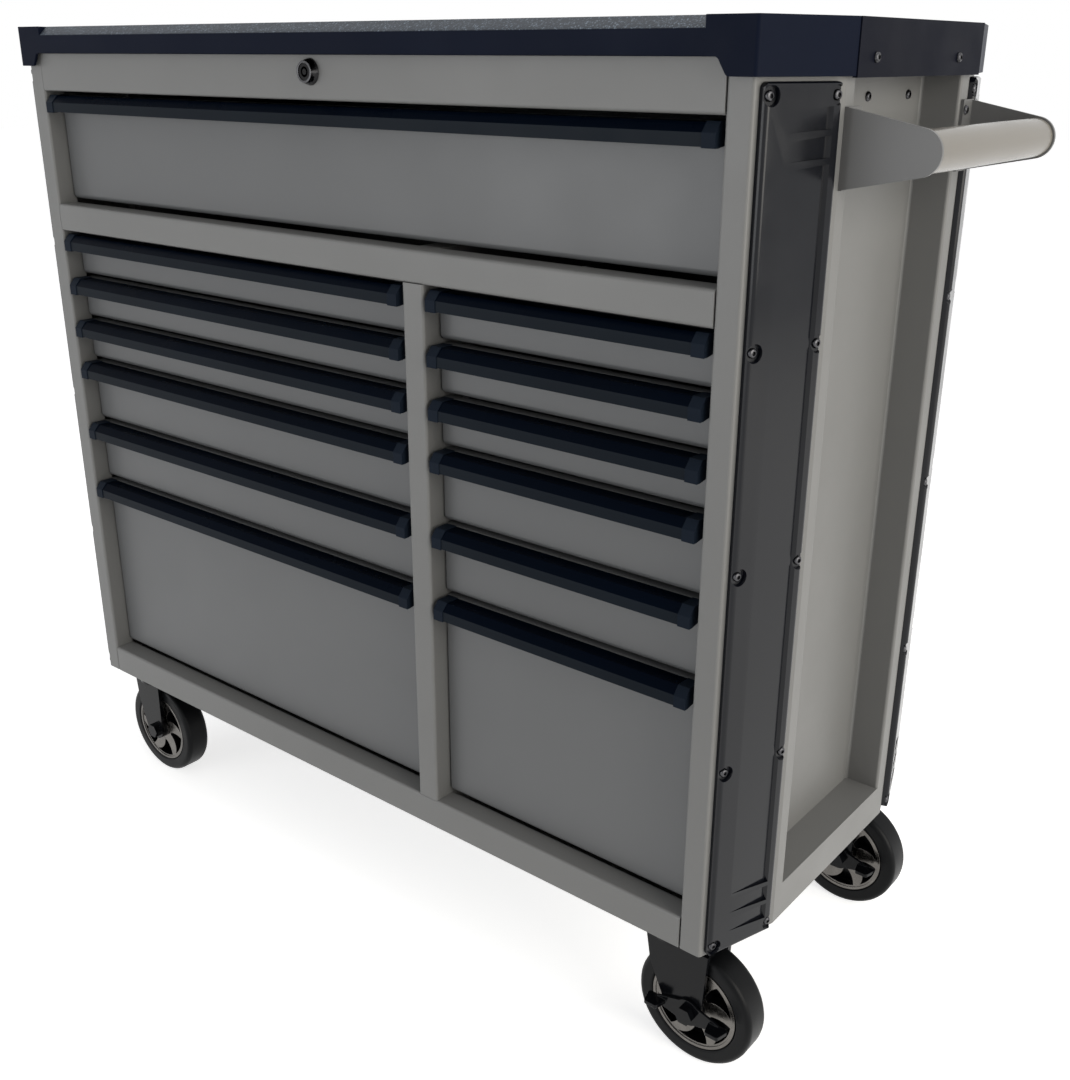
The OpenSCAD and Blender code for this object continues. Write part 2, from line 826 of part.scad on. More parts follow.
module end_trim() {
    difference() {
        box([side_x - trim_lap, trim_y0, ear_z - 1],
            [side_x + trim_over, cabinet_d - trim_y0, worktop_z]);
        box([side_x - trim_lap - cut, trim_y0 - cut, ear_z - 1 - cut],
            [side_x + surround_over, cabinet_d - trim_y0 + cut, surround_top]);
        trim_screw_holes();
    }
}

module top_end_trims() {
    color(black_plastic) both_ends() end_trim();
}

// ---------------------------------------------------------------- corner guards

// One scooped bay, flush at its tail and deepest at its wall, between heights z0 and z1 there.
// The tail's lower and upper corners lie lean_0 and lean_1 above the wall's.
module bay(z0, z1, lean_0, lean_1) {
    tail_u = groove_u - bay_run;
    floor_u = groove_u - bay_wall;
    intersection() {
        translate([0, 0, z0 - bay_slant - cut])
            linear_extrude(z1 - z0 + 2 * bay_slant + 2 * cut)
                polygon([[tail_u, -guard_t], [floor_u, bay_depth - guard_t],
                         [groove_u, -guard_t], [groove_u, -guard_t - cut],
                         [tail_u, -guard_t - cut]]);
        along_y(-guard_t - 2 * cut, 0)
            polygon([[tail_u, z0 + lean_0], [groove_u, z0], [groove_u, z1],
                     [tail_u, z1 + lean_1]]);
    }
}

// Bays from the top down: two high ones, the long one and two low ones
top_bay_z = guard_z1 - bay_top_margin;
low_bay_z = guard_z0 + bay_low_margin;
top_bay_step = top_bay_h + rib_h;
low_bay_step = low_bay_h + rib_h;
up = bay_slant + bay_taper;
down = bay_slant - bay_taper;
bays = [
    [top_bay_z - top_bay_h, top_bay_z, -down, -up],
    [top_bay_z - top_bay_step - top_bay_h, top_bay_z - top_bay_step, -down, -up],
    [low_bay_z + 2 * low_bay_step, top_bay_z - 2 * top_bay_step, up, -up],
    [low_bay_z + low_bay_step, low_bay_z + low_bay_step + low_bay_h, up, down],
    [low_bay_z, low_bay_z + low_bay_h, up, down]];

// Round pocket for one screw, with a sloping wall, that breaks out at the guard's edge
module scallop(s) {
    translate([s[0], -screw_seat_t, s[1]])
        rotate([90, 0, 0])
            cylinder(r1 = scallop_r - 1, r2 = scallop_r, h = guard_t - screw_seat_t + eps, $fn = 64);
}

// Section across a guard from a to b, flat at the back, with both outer edges rounded
function guard_section(a, b) = concat(
    [[b, 0], [a, 0]],
    corner_arc([a, 0], [a, -guard_t], [b, -guard_t], guard_edge_r, 5),
    corner_arc([a, -guard_t], [b, -guard_t], [b, 0], guard_edge_r, 5));

// Block of a guard with its edges and its four corners rounded
module guard_block() {
    intersection() {
        translate([0, 0, guard_z0])
            linear_extrude(guard_z1 - guard_z0) polygon(guard_section(guard_u0, guard_u1));
        along_x(guard_u0 - cut, guard_u1 + cut)
            polygon([for (p = guard_section(guard_z0, guard_z1)) [p[1], p[0]]]);
        along_y(-guard_t - cut, cut)
            polygon(round_loop([[guard_u0, guard_z0], [guard_u1, guard_z0],
                                [guard_u1, guard_z1], [guard_u0, guard_z1]],
                               guard_corner_r));
    }
}

module corner_guard() {
    difference() {
        guard_block();
        for (b = bays) bay(b[0], b[1], b[2], b[3]);
        for (s = guard_screws) scallop(s);
        guard_screw_holes(cut);
    }
}

module corner_guards() {
    color(black_plastic) both_ends() both_depths() on_bevel() corner_guard();
}

// ---------------------------------------------------------------- handle

// Outline of a bracket in X-Z from the side outward, centred on the handle's height
module bracket_outline() {
    h = bracket_root_h / 2;
    reach = norm([handle_reach, h]);
    tangent = 180 - atan2(h, handle_reach) - acos(bracket_nose_r / reach);
    nose = [handle_reach, 0];
    t = nose + bracket_nose_r * [cos(tangent), sin(tangent)];
    polygon([[0, -h], [0, h], t, nose, [t[0], -t[1]]]);
    translate(nose) circle(r = bracket_nose_r, $fn = 96);
}

// Bracket whose plate starts at y0 and whose flange turns toward the middle of the handle
module bracket(y0, toward) {
    plate_y = toward > 0 ? y0 : y0 - bracket_t;
    flange_y = toward > 0 ? y0 : y0 - bracket_flange_w;
    translate([side_x, 0, handle_z])
        along_y(plate_y, plate_y + bracket_t) bracket_outline();
    translate([side_x, flange_y, handle_z - bracket_root_h / 2])
        cube([bracket_t, bracket_flange_w, bracket_root_h]);
}

module handle_brackets() {
    color(steel_grey)
        difference() {
            union() {
                bracket(bracket_y0, 1);
                bracket(bracket_y1, -1);
            }
            bracket_screw_holes();
        }
}

module handle_tube() {
    color(steel_grey)
        translate([handle_x, bracket_y0 + bracket_t, handle_z])
            rotate([-90, 0, 0])
                difference() {
                    length = bracket_y1 - bracket_y0 - 2 * bracket_t;
                    cylinder(d = handle_tube_d, h = length, $fn = 96);
                    translate([0, 0, -cut])
                        cylinder(d = handle_tube_d - 2 * handle_tube_wall,
                                 h = length + 2 * cut, $fn = 96);
                }
}

// ---------------------------------------------------------------- lock

// Children on the lock's axis, with Z running into the cabinet
module at_lock() {
    translate([lock_shift, 0, lock_z]) rotate([-90, 0, 0]) children();
}

module lock_bezel() {
    color(bright_zinc)
        at_lock()
            difference() {
                union() {
                    translate([0, 0, -bezel_proud])
                        cylinder(d1 = bezel_d - 5, d2 = bezel_d, h = bezel_proud, $fn = 64);
                    cylinder(d = lock_sleeve_d - 2 * lock_gap, h = lock_sleeve_l, $fn = 64);
                }
                translate([0, 0, -bezel_proud - cut])
                    cylinder(d = lock_cylinder_d + 2 * lock_gap,
                             h = bezel_proud + lock_sleeve_l + 2 * cut, $fn = 64);
            }
}

// Turning cylinder with its ring-shaped key socket and the pin that moves the lock bar
module lock_cylinder() {
    socket_r = lock_cylinder_d / 2 - 2.9;
    socket_core_r = 2.6;
    socket_depth = 5;
    color(black_metal)
        at_lock() {
            difference() {
                translate([0, 0, 1 - bezel_proud])
                    cylinder(d = lock_cylinder_d, h = bezel_proud - 1 + return_d, $fn = 64);
                translate([0, 0, -bezel_proud])
                    difference() {
                        cylinder(r = socket_r, h = socket_depth + 1, $fn = 48);
                        translate([0, 0, -cut])
                            cylinder(r = socket_core_r, h = socket_depth + 3 * cut, $fn = 48);
                    }
            }
            translate([lock_throw, 0, return_d - cut])
                cylinder(r = lock_pin_r, h = lock_bar_t + 2 * cut, $fn = 24);
        }
}

// Bar behind the lock rail, with a slotted tongue that rides on the cylinder's pin
module lock_bar() {
    tongue_r = lock_throw + lock_pin_r + 5;
    slot_r = lock_throw + lock_pin_r + rim_gap;
    bar_z = lock_rail_z + 1;
    color(bright_zinc)
        along_y(lock_bar_y, lock_bar_y + lock_bar_t)
            difference() {
                union() {
                    translate([lock_shift - lock_bar_l / 2, bar_z])
                        square([lock_bar_l, lock_bar_h]);
                    translate([lock_shift - tongue_r, bar_z])
                        square([2 * tongue_r, lock_z + lock_slot_h / 2 + 4 - bar_z]);
                }
                translate([lock_shift - slot_r, lock_z - lock_slot_h / 2])
                    square([2 * slot_r, lock_slot_h]);
            }
}

// ---------------------------------------------------------------- casters

module at_casters(sides) {
    for (sx = sides, y = caster_ys)
        translate([sx * caster_x, y, 0]) children();
}

module at_plate_bolts() {
    at_casters([-1, 1])
        for (dx = [-bolt_dx, bolt_dx], dy = [-bolt_dy, bolt_dy])
            translate([dx, dy, 0]) children();
}

// Top plate with its raised race, and a king pin where the fork swivels
module caster_plate(swivels) {
    difference() {
        union() {
            translate([0, 0, plate_z])
                linear_extrude(plate_t)
                    polygon(round_loop([[-plate_l / 2, -plate_w / 2], [plate_l / 2, -plate_w / 2],
                                        [plate_l / 2, plate_w / 2], [-plate_l / 2, plate_w / 2]],
                                       8));
            if (swivels)
                translate([0, 0, plate_z - race_h]) cylinder(r = race_r, h = race_h, $fn = 96);
            if (swivels)
                translate([0, 0, crown_z - 5])
                    cylinder(r = king_pin_r, h = plate_z - crown_z + 5, $fn = 48);
            if (swivels)
                translate([0, 0, crown_z - 5 - pedal_gap]) cylinder(r = 10, h = 5, $fn = 6);
        }
        for (dx = [-bolt_dx, bolt_dx], dy = [-bolt_dy, bolt_dy])
            translate([dx, dy, plate_z - cut]) cylinder(r = bolt_hole_r, h = plate_t + 2 * cut, $fn = 24);
    }
}
king_pin_r = 6;

module caster_plates() {
    color(black_metal) {
        at_casters([1]) caster_plate(true);
        at_casters([-1]) caster_plate(false);
    }
}

// Leg of a fork in X-Z: a curved blade from the crown's edges down to the axle boss
module leg_outline(x0, x1, ax) {
    boss = [ax, wheel_r];
    rise = crown_z - wheel_r;
    back = x0 - ax;
    difference() {
        union() {
            polygon(concat(
                [[x0, crown_z], [x1, crown_z], [ax + axle_boss_r, wheel_r],
                 [ax, wheel_r - axle_boss_r + eps]],
                round_path([[ax, wheel_r - axle_boss_r + eps], [ax + 0.5 * back, wheel_r - 0.12 * rise],
                            [ax + 0.67 * back, wheel_r + 0.17 * rise],
                            [ax + 0.9 * back, wheel_r + 0.55 * rise], [x0, crown_z]], 6)));
            translate(boss) circle(r = axle_boss_r, $fn = 64);
        }
        translate(boss) circle(r = hub_bore_r, $fn = 64);
    }
}

// Pressed fork: two legs joined by a crown, crown_h thick at the pivot
module fork(x0, x1, ax, bored) {
    difference() {
        union() {
            for (s = [0, 1])
                mirror([0, s, 0]) {
                    along_y(fork_inner, fork_inner + fork_t) leg_outline(x0, x1, ax);
                    // Lip folded inward along the leading edge
                    along_y(fork_inner + fork_t - leg_lip, fork_inner + fork_t)
                        polygon([[x1 - fork_t, crown_z], [x1, crown_z],
                                 [ax + axle_boss_r, wheel_r + lip_rise],
                                 [ax + axle_boss_r - fork_t, wheel_r + lip_rise]]);
                }
            box([x0, -fork_inner - fork_t, crown_z], [x1, fork_inner + fork_t, crown_z + fork_t]);
            translate([0, 0, crown_z]) cylinder(r = race_r + 2, h = fork_t, $fn = 96);
        }
        if (bored)
            translate([0, 0, crown_z - cut])
                cylinder(r = king_pin_r + pivot_gap, h = fork_t + 2 * cut, $fn = 48);
    }
}

// Axle bolt with its head and nut, out_front beyond the front leg
module axle(ax, out_front) {
    y0 = -fork_inner - fork_t - out_front;
    y1 = fork_inner + fork_t;
    translate([ax, 0, wheel_r]) {
        translate([0, y0 - cut / 2, 0])
            rotate([-90, 0, 0]) cylinder(d = axle_d, h = y1 - y0 + 2, $fn = 64);
        translate([0, y0 - 7, 0]) rotate([-90, 0, 0]) cylinder(r = 9.5, h = 7, $fn = 6);
        translate([0, y1, 0]) rotate([-90, 0, 0]) cylinder(r = 9.5, h = 8, $fn = 6);
    }
}

module fixed_fork() {
    fork(-crown_half, crown_half, fixed_trail, false);
    // Spacer block between the crown and the top plate
    translate([0, 0, crown_z + fork_t]) cylinder(r = race_r, h = plate_z - crown_z - fork_t, $fn = 96);
    axle(fixed_trail, 0);
}

module fixed_forks() {
    color(black_metal) at_casters([-1]) fixed_fork();
}

module swivel_fork(i) {
    color(black_metal)
        translate([caster_x, caster_ys[i], 0]) {
            fork(-crown_half, caster_trail + crown_lead, caster_trail, true);
            axle(caster_trail, pedal_t + 2 * pedal_gap);
        }
}

module swivel_fork_front() {
    swivel_fork(0);
}

module swivel_fork_rear() {
    swivel_fork(1);
}

// Rocker pedal on the axle, in front of the fork, with a foot pad at each end
pedal_l = 34;
pad_w = 22;
pad_out = 16;
pad_t = 4;
module brake_pad(x, y1) {
    w = pad_w / 2;
    translate([0, 0, -pad_t / 2])
        linear_extrude(pad_t)
            polygon(round_loop([[x - w, y1], [x + w, y1], [x + w - 4, y1 - pad_out],
                                [x - w + 4, y1 - pad_out]], 3));
}

module brake_pedal(i) {
    y1 = -fork_inner - fork_t - pedal_gap;
    color(black_metal)
        translate([caster_x + caster_trail, caster_ys[i], wheel_r])
            difference() {
                union() {
                    along_y(y1 - pedal_t, y1) {
                        circle(r = axle_boss_r + 1, $fn = 64);
                        polygon([[-pedal_l, 3], [0, axle_boss_r], [pedal_l, 3],
                                 [pedal_l, -5], [0, -axle_boss_r], [-pedal_l, -5]]);
                    }
                    for (s = [-1, 1])
                        brake_pad(s * pedal_l, y1);
                }
                translate([0, y1 + cut, 0])
                    rotate([90, 0, 0]) cylinder(r = hub_bore_r, h = pedal_t + 2 * cut, $fn = 64);
            }
}

module brake_pedal_front() {
    brake_pedal(0);
}

module brake_pedal_rear() {
    brake_pedal(1);
}

// Opening between two spokes, in the wheel's plane: its leading edge bulges out and its
// trailing edge is hollow, which leaves swirling spokes that widen at the rim
module spoke_window() {
    r0 = axle_boss_r + 6;
    r1 = rim_r - hub_ring;
    span = r1 - r0;
    difference() {
        intersection() {
            circle(r = r1, $fn = 128);
            translate([r0 + 0.42 * span, -1.29 * span]) circle(r = 1.24 * span, $fn = 96);
        }
        circle(r = r0, $fn = 96);
        translate([0.27 * span, -1.07 * span]) circle(r = 0.955 * span, $fn = 96);
    }
}

// Hub with curved spokes; its axle lies along Y
module hub(x, y) {
    web_w = tyre_w - 2 * hub_step;
    color(hub_grey)
        translate([x, y, wheel_r])
            rotate([90, 0, 0])
                difference() {
                    union() {
                        translate([0, 0, -tyre_w / 2 + 1])
                            difference() {
                                cylinder(r = rim_r, h = tyre_w - 2, $fn = 128);
                                translate([0, 0, -cut]) cylinder(r = rim_r - 3, h = tyre_w, $fn = 128);
                            }
                        translate([0, 0, -web_w / 2])
                            linear_extrude(web_w)
                                difference() {
                                    circle(r = rim_r - 2, $fn = 128);
                                    for (k = [0:spokes - 1])
                                        rotate([0, 0, k * 360 / spokes]) spoke_window();
                                }
                        translate([0, 0, -hub_half]) cylinder(r = axle_boss_r, h = 2 * hub_half, $fn = 64);
                    }
                    translate([0, 0, -hub_half - cut])
                        cylinder(r = hub_bore_r, h = 2 * hub_half + 2 * cut, $fn = 64);
                }
}

// Tyre with rounded shoulders
module tyre(x, y) {
    h = tyre_w / 2;
    shoulder = 6;
    color(rubber)
        translate([x, y, wheel_r])
            rotate([90, 0, 0])
                rotate_extrude($fn = 128)
                    polygon(concat(
                        [[rim_r, -h + 2], [rim_r + 3, -h]],
                        corner_arc([rim_r + 3, -h], [wheel_r, -h], [wheel_r, 0], shoulder, 4),
                        corner_arc([wheel_r, 0], [wheel_r, h], [rim_r + 3, h], shoulder, 4),
                        [[rim_r + 3, h], [rim_r, h - 2]]));
}

wheel_xs = [caster_x + caster_trail, fixed_trail - caster_x];

module hub_front_right() {
    hub(wheel_xs[0], caster_ys[0]);
}

module hub_rear_right() {
    hub(wheel_xs[0], caster_ys[1]);
}

module hub_front_left() {
    hub(wheel_xs[1], caster_ys[0]);
}

module hub_rear_left() {
    hub(wheel_xs[1], caster_ys[1]);
}

module tyre_front_right() {
    tyre(wheel_xs[0], caster_ys[0]);
}

module tyre_rear_right() {
    tyre(wheel_xs[0], caster_ys[1]);
}

module tyre_front_left() {
    tyre(wheel_xs[1], caster_ys[0]);
}

module tyre_rear_left() {
    tyre(wheel_xs[1], caster_ys[1]);
}

// ---------------------------------------------------------------- fasteners

// Pan head screw with a hex socket: the head stands on z = 0, the shank goes down by l
module pan_screw(l) {
    difference() {
        rotate_extrude($fn = 32)
            polygon([[0, -l], [screw_r, -l], [screw_r, 0], [head_r, 0], [head_r, head_h * 0.35],
                     [head_r * 0.8, head_h * 0.8], [head_r * 0.45, head_h], [0, head_h]]);
        translate([0, 0, head_h - 1.8]) cylinder(r = 1.9, h = 3, $fn = 6);
    }
}

module fasteners() {
    color(bright_zinc) {
        both_ends() {
            both_depths()
                on_bevel()
                    for (s = guard_screws)
                        translate([s[0], -screw_seat_t, s[1]]) rotate([90, 0, 0]) pan_screw(8);
            for (y = trim_screw_ys)
                translate([side_x + trim_over, y, top_z]) rotate([0, 90, 0]) pan_screw(6);
            for (y = recess_screw_ys)
                translate([recess_x, y, recess_screw_z]) rotate([0, 90, 0]) pan_screw(6);
        }
        for (y = bracket_screw_ys, s = [-1, 1])
            translate([side_x + bracket_t, y, handle_z + s * bracket_screw_dz])
                rotate([0, 90, 0]) pan_screw(8);
        at_plate_bolts()
            translate([0, 0, plate_z]) {
                translate([0, 0, -bolt_head_h]) cylinder(r = bolt_nut_r, h = bolt_head_h, $fn = 6);
                cylinder(r = bolt_r, h = plate_t + sheet + bolt_nut_h + 2, $fn = 32);
                translate([0, 0, plate_t + sheet])
                    cylinder(r = bolt_nut_r, h = bolt_nut_h, $fn = 6);
            }
    }
}

// The modules above share a working frame: X = 0 at the middle of the front, Y = 0 at the posts
module in_frame() {
    handle_end = handle_x + bracket_nose_r;
    left_end = side_x + trim_over + head_h;
    translate([(left_end - handle_end) / 2, -cabinet_d / 2, 0]) children();
}

in_frame() side_panel_right();
in_frame() side_panel_left();
in_frame() front_rails();
in_frame() back_panel();
in_frame() base_pan();
in_frame() centre_partition();
in_frame() slide_uprights();
in_frame() slide_channels();
in_frame() top_surround();
in_frame() worktop_mat();
in_frame() top_corner_caps();
in_frame() top_end_trims();
in_frame() corner_guards();
in_frame() fasteners();
in_frame() handle_brackets();
in_frame() handle_tube();
in_frame() lock_bezel();
in_frame() lock_cylinder();
in_frame() lock_bar();
in_frame() caster_plates();
in_frame() fixed_forks();
in_frame() swivel_fork_front();
in_frame() swivel_fork_rear();
in_frame() brake_pedal_front();
in_frame() brake_pedal_rear();
in_frame() hub_front_right();
in_frame() hub_rear_right();
in_frame() hub_front_left();
in_frame() hub_rear_left();
in_frame() tyre_front_right();
in_frame() tyre_rear_right();
in_frame() tyre_front_left();
in_frame() tyre_rear_left();
in_frame() tray_top();
in_frame() pull_top();
for (i = [0:BANK_ROWS - 1]) {
    in_frame() bank_tray(left_bank, i);
    in_frame() bank_pull(left_bank, i);
    in_frame() bank_tray(right_bank, i);
    in_frame() bank_pull(right_bank, i);
}
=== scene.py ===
import math

import bmesh
import bpy
from mathutils import Matrix, Vector


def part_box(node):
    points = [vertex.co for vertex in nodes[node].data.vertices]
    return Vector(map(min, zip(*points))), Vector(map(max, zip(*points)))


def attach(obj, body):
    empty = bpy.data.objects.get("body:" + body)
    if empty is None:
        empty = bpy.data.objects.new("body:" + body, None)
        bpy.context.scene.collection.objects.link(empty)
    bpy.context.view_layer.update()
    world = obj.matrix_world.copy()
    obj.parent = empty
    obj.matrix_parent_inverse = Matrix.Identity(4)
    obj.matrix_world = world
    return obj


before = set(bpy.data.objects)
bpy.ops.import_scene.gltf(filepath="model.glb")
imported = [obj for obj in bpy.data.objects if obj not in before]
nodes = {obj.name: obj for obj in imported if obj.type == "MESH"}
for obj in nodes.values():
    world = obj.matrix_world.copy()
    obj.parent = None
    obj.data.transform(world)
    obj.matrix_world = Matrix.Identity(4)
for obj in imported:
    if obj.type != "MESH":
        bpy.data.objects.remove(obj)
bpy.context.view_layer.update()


# ------------------------------------------------------------------ camera

# How far the camera looks down, is turned left and leans over, in radians
CAMERA_PITCH = 0.371
CAMERA_YAW = 0.677
CAMERA_ROLL = 0.004
# Its place in metres: to the right of the cabinet's middle, in front of it and above the floor
CAMERA_ASIDE = 0.9212
CAMERA_AWAY = 0.8118
CAMERA_HEIGHT = 0.9156
FOCAL_LENGTH_MM = 41.96
SENSOR_WIDTH_MM = 36.0


def make_camera():
    """The scene's camera, in front of the chest's right end, looking down and to the left."""
    level = math.cos(CAMERA_PITCH)
    ahead = Vector((-math.sin(CAMERA_YAW) * level, math.cos(CAMERA_YAW) * level, -math.sin(CAMERA_PITCH)))
    side = Vector((math.cos(CAMERA_YAW), math.sin(CAMERA_YAW), 0.0))
    right = side * math.cos(CAMERA_ROLL) + side.cross(ahead) * math.sin(CAMERA_ROLL)
    up = right.cross(ahead)
    data = bpy.data.cameras.new("view_camera")
    data.sensor_fit = "HORIZONTAL"
    data.sensor_width = SENSOR_WIDTH_MM
    data.lens = FOCAL_LENGTH_MM
    data.clip_end = 50.0
    camera = bpy.data.objects.new("view_camera", data)
    bpy.context.scene.collection.objects.link(camera)
    place = Matrix((right, up, -ahead)).transposed().to_4x4()
    lo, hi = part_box("front_rails")
    place.translation = Vector(((lo.x + hi.x) / 2 + CAMERA_ASIDE, lo.y - CAMERA_AWAY, CAMERA_HEIGHT))
    camera.matrix_world = place
    bpy.context.scene.camera = camera


# ------------------------------------------------------------------ materials

# Nearly all values of a noise texture lie between these two
NOISE_LOW = 0.3
NOISE_HIGH = 0.7
# Colour sockets of a mix node
MIX_A = 6
MIX_B = 7
MIX_RESULT = 2


def srgb(*channels):
    """Linear colour from three sRGB channels of 0 to 255."""
    def linear(c):
        c = c / 255.0
        return c / 12.92 if c <= 0.04045 else ((c + 0.055) / 1.055) ** 2.4
    return tuple(linear(c) for c in channels)


class Mat:
    """A Principled material whose colour, roughness and bump vary with noise in object space."""

    def __init__(self, name, color, rough, metallic=0.0, specular=0.5, coat=0.0, coat_rough=0.2):
        self.mat = bpy.data.materials.new(name)
        self.mat.use_nodes = True
        self.color = color
        self.tree = self.mat.node_tree
        self.bsdf = self.tree.nodes["Principled BSDF"]
        self.bsdf.inputs["Base Color"].default_value = (*color, 1)
        self.bsdf.inputs["Roughness"].default_value = rough
        self.bsdf.inputs["Metallic"].default_value = metallic
        self.bsdf.inputs["Specular IOR Level"].default_value = specular
        self.bsdf.inputs["Coat Weight"].default_value = coat
        self.bsdf.inputs["Coat Roughness"].default_value = coat_rough
        self.coord = self.tree.nodes.new("ShaderNodeTexCoord").outputs["Object"]
        self.normal = None

    def link(self, output, socket):
        self.tree.links.new(output, socket)

    def noise(self, scale, detail=3.0, rough=0.5):
        n = self.tree.nodes.new("ShaderNodeTexNoise")
        n.inputs["Scale"].default_value = scale
        n.inputs["Detail"].default_value = detail
        n.inputs["Roughness"].default_value = rough
        self.link(self.coord, n.inputs["Vector"])
        return n.outputs["Fac"]

    def voronoi(self, scale):
        n = self.tree.nodes.new("ShaderNodeTexVoronoi")
        n.inputs["Scale"].default_value = scale
        self.link(self.coord, n.inputs["Vector"])
        return n.outputs["Distance"]

    def product(self, a, b):
        """One value times another."""
        n = self.tree.nodes.new("ShaderNodeMath")
        n.operation = "MULTIPLY"
        self.link(a, n.inputs[0])
        self.link(b, n.inputs[1])
        return n.outputs[0]

    def span(self, fac, start, end, lo=NOISE_LOW, hi=NOISE_HIGH):
        """Goes from start to end while fac goes from lo to hi."""
        n = self.tree.nodes.new("ShaderNodeMapRange")
        n.inputs["From Min"].default_value = lo
        n.inputs["From Max"].default_value = hi
        n.inputs["To Min"].default_value = start
        n.inputs["To Max"].default_value = end
        self.link(fac, n.inputs["Value"])
        return n.outputs["Result"]

    def mix_color(self, fac, a, b):
        """Colour a where fac is 0 and b where it is 1."""
        n = self.tree.nodes.new("ShaderNodeMix")
        n.data_type = "RGBA"
        n.inputs[MIX_A].default_value = (*a, 1)
        n.inputs[MIX_B].default_value = (*b, 1)
        self.link(fac, n.inputs[0])
        self.link(n.outputs[MIX_RESULT], self.bsdf.inputs["Base Color"])

    def vary_color(self, fac, dark, light):
        """Colour from its own times dark to its own times light."""
        darker = tuple(c * dark for c in self.color)
        lighter = tuple(c * light for c in self.color)
        self.mix_color(self.span(fac, 0, 1), darker, lighter)

    def vary_rough(self, fac, start, end):
        """Roughness from start to end."""
        self.link(self.span(fac, start, end), self.bsdf.inputs["Roughness"])

    def bump(self, fac, strength, distance):
        """Raises the surface by fac, on top of the bumps made before."""
        n = self.tree.nodes.new("ShaderNodeBump")
        n.inputs["Strength"].default_value = strength
        n.inputs["Distance"].default_value = distance
        self.link(fac, n.inputs["Height"])
        if self.normal is not None:
            self.link(self.normal, n.inputs["Normal"])
        self.normal = n.outputs["Normal"]
        self.link(self.normal, self.bsdf.inputs["Normal"])


def enamel(name, color, rough=0.42):
    """Baked enamel on sheet metal: faint cloudiness and a fine orange peel."""
    m = Mat(name, color, rough, specular=0.3, coat=0.05, coat_rough=0.35)
    m.vary_color(m.noise(3.0, 4.0, 0.55), 0.96, 1.04)
    m.vary_rough(m.noise(14.0), rough - 0.04, rough + 0.05)
    m.bump(m.noise(900.0, 2.0), 0.05, 0.0004)
    return m.mat


def moulded(name, color, rough, specular, grain, strength):
    """Moulded black plastic or smooth black paint, with a fine grain."""
    m = Mat(name, color, rough, specular=specular)
    m.vary_color(m.noise(6.0, 4.0), 0.9, 1.12)
    m.vary_rough(m.noise(25.0), rough - 0.05, rough + 0.06)
    m.bump(m.noise(grain, 3.0, 0.6), strength, 0.0003)
    return m.mat


def speckled(name, color, light):
    """Textured worktop: coarse speckle of small raised grains."""
    m = Mat(name, color, 0.62, specular=0.4)
    grains = m.voronoi(520.0)
    patches = m.noise(260.0, 4.0, 0.65)
    specks = m.product(m.span(grains, 1, 0, 0.15, 0.5), m.span(patches, 0, 1, 0.42, 0.62))
    m.mix_color(specks, color, light)
    m.bump(grains, 0.35, 0.0006)
    m.bump(patches, 0.2, 0.0006)
    return m.mat


def rubber(name, color):
    """Black tyre rubber with a dusty variation."""
    m = Mat(name, color, 0.5, specular=0.12)
    m.vary_color(m.noise(18.0, 5.0, 0.6), 0.8, 1.3)
    m.vary_rough(m.noise(40.0), 0.34, 0.46)
    m.bump(m.noise(700.0, 3.0, 0.6), 0.12, 0.0004)
    return m.mat


def metal(name, color, rough=0.35):
    """Plated, blackened or turned metal with a faint mottle."""
    m = Mat(name, color, rough, metallic=1.0)
    m.vary_color(m.noise(60.0, 4.0), 0.8, 1.1)
    m.vary_rough(m.noise(120.0), rough - 0.08, rough + 0.1)
    m.bump(m.noise(1500.0, 2.0), 0.06, 0.0002)
    return m.mat


mats = {
    "cabinet": enamel("enamel_grey", srgb(117, 117, 116)),
    "drawer": enamel("enamel_drawer", srgb(99, 100, 101), 0.38),
    "handle": enamel("enamel_handle", srgb(118, 114, 107), 0.24),
    "bracket": enamel("enamel_bracket", srgb(104, 104, 104)),
    "surround": moulded("plastic_surround", srgb(9, 12, 20), 0.42, 0.03, 1600.0, 0.12),
    "cap": moulded("plastic_cap", srgb(17, 22, 36), 0.42, 0.03, 1300.0, 0.2),
    "trim": moulded("plastic_trim", srgb(13, 15, 25), 0.42, 0.03, 1300.0, 0.2),
    "guard": moulded("plastic_guard", srgb(12, 14, 20), 0.16, 0.26, 1500.0, 0.04),
    "worktop": speckled("worktop_texture", srgb(28, 36, 46), srgb(124, 138, 152)),
    "pull": moulded("pull_extrusion", srgb(1, 7, 19), 0.3, 0.02, 900.0, 0.03),
    # The pull's upright front lip is the pull's own black, painted lighter as a painted reflection of the
    # pale floor on that face
    "pull_lip_painted_reflection": moulded("pull_front_lip_painted_reflection", srgb(21, 27, 34), 0.34, 0.04, 900.0, 0.03),
    "pull_cap": moulded("pull_end_cap", srgb(24, 31, 41), 0.4, 0.03, 1800.0, 0.12),
    "zinc": metal("zinc_plate", (0.62, 0.62, 0.62)),
    "black_screw": metal("black_oxide_screw", (0.07, 0.07, 0.075), 0.3),
    "lock_ring": metal("lock_ring_black", (0.09, 0.09, 0.095), 0.12),
    "black_steel": moulded("black_steel_paint", srgb(8, 9, 12), 0.16, 0.16, 700.0, 0.03),
    "tyre": rubber("tyre_rubber", srgb(6, 7, 9)),
    "hub": moulded("hub_black", srgb(8, 8, 10), 0.3, 0.12, 1200.0, 0.06),
    "hub_face": metal("hub_machined", (0.15, 0.142, 0.133), 0.26),
}


# ------------------------------------------------------------------ finishes of the CAD nodes

WHEELS = ["front_right", "rear_right", "front_left", "rear_left"]
BODY_SHEETS = ["side_panel_left", "side_panel_right", "front_rails", "back_panel", "base_pan",
               "centre_partition", "slide_uprights"]
CASTER_STEEL = ["caster_plates", "fixed_forks", "swivel_fork_front", "swivel_fork_rear",
                "brake_pedal_front", "brake_pedal_rear"]

